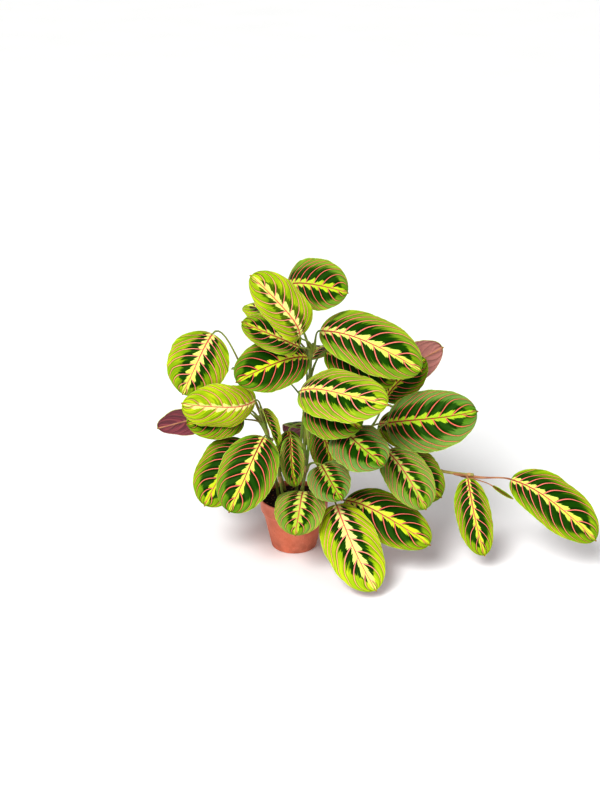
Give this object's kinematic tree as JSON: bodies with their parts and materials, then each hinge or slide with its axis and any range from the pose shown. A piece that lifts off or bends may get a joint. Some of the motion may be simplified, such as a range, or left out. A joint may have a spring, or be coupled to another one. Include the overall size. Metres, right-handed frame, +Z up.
{
  "type": "potted prayer plant",
  "caption": "Potted prayer plant with broad oval patterned leaves on thin stems, in a small round tapered nursery pot filled with soil.",
  "frame": {"origin": "middle of the pot's base, on the surface that it stands on", "axes": "+Z up along the pot's axis, -Y the side seen in the picture, +X to its right"},
  "size_m": [0.6476, 0.3637, 0.4511],
  "materials": {
    "terracotta_plastic": "matte",
    "potting_soil": "matte",
    "green_stem": "satin",
    "bright_leaf": "satin",
    "dark_leaf": "satin",
    "grey_green_leaf": "satin"
  },
  "bodies": {
    "root": {"pot": "terracotta_plastic", "soil": "potting_soil", "stem_front_low": "green_stem", "stem_front_mid": "green_stem", "stem_front_left": "green_stem", "stem_right": "green_stem", "stem_centre": "green_stem", "stem_left": "green_stem", "stem_back": "green_stem", "stem_back_left": "green_stem", "runner": "green_stem", "leaf_pot_right": "bright_leaf", "leaf_pot_right_back": "dark_leaf", "leaf_pot_front": "grey_green_leaf", "leaf_small": "grey_green_leaf", "leaf_folded": "dark_leaf", "leaf_left_big": "dark_leaf", "leaf_left_behind": "dark_leaf", "leaf_mid_right": "grey_green_leaf", "leaf_right_low": "grey_green_leaf", "leaf_right_behind": "dark_leaf", "leaf_right_big": "grey_green_leaf", "leaf_right_under": "bright_leaf", "leaf_right_upper": "dark_leaf", "leaf_right_purple": "dark_leaf", "leaf_centre_bright": "bright_leaf", "leaf_under_bright": "dark_leaf", "leaf_top_big": "bright_leaf", "leaf_under_top": "dark_leaf", "leaf_top_left": "dark_leaf", "leaf_crown": "bright_leaf", "leaf_twisted": "dark_leaf", "leaf_top_back": "dark_leaf", "leaf_lime": "bright_leaf", "leaf_under_lime": "dark_leaf", "leaf_left_upper": "bright_leaf", "leaf_left_purple": "dark_leaf", "leaf_left_low": "dark_leaf", "leaf_rolled": "bright_leaf", "leaf_runner_hanging": "bright_leaf", "leaf_runner_end": "bright_leaf", "leaf_runner_bud": "bright_leaf", "leaf_back_top": "grey_green_leaf", "leaf_back_left_top": "dark_leaf", "leaf_back_right": "bright_leaf", "leaf_back_low": "dark_leaf", "leaf_back_left": "grey_green_leaf", "leaf_back_left_low": "dark_leaf", "leaf_back_right_low": "dark_leaf", "leaf_back_crown": "bright_leaf", "leaf_inner_left": "dark_leaf", "leaf_inner_right": "dark_leaf"}
  },
  "joints": []
}
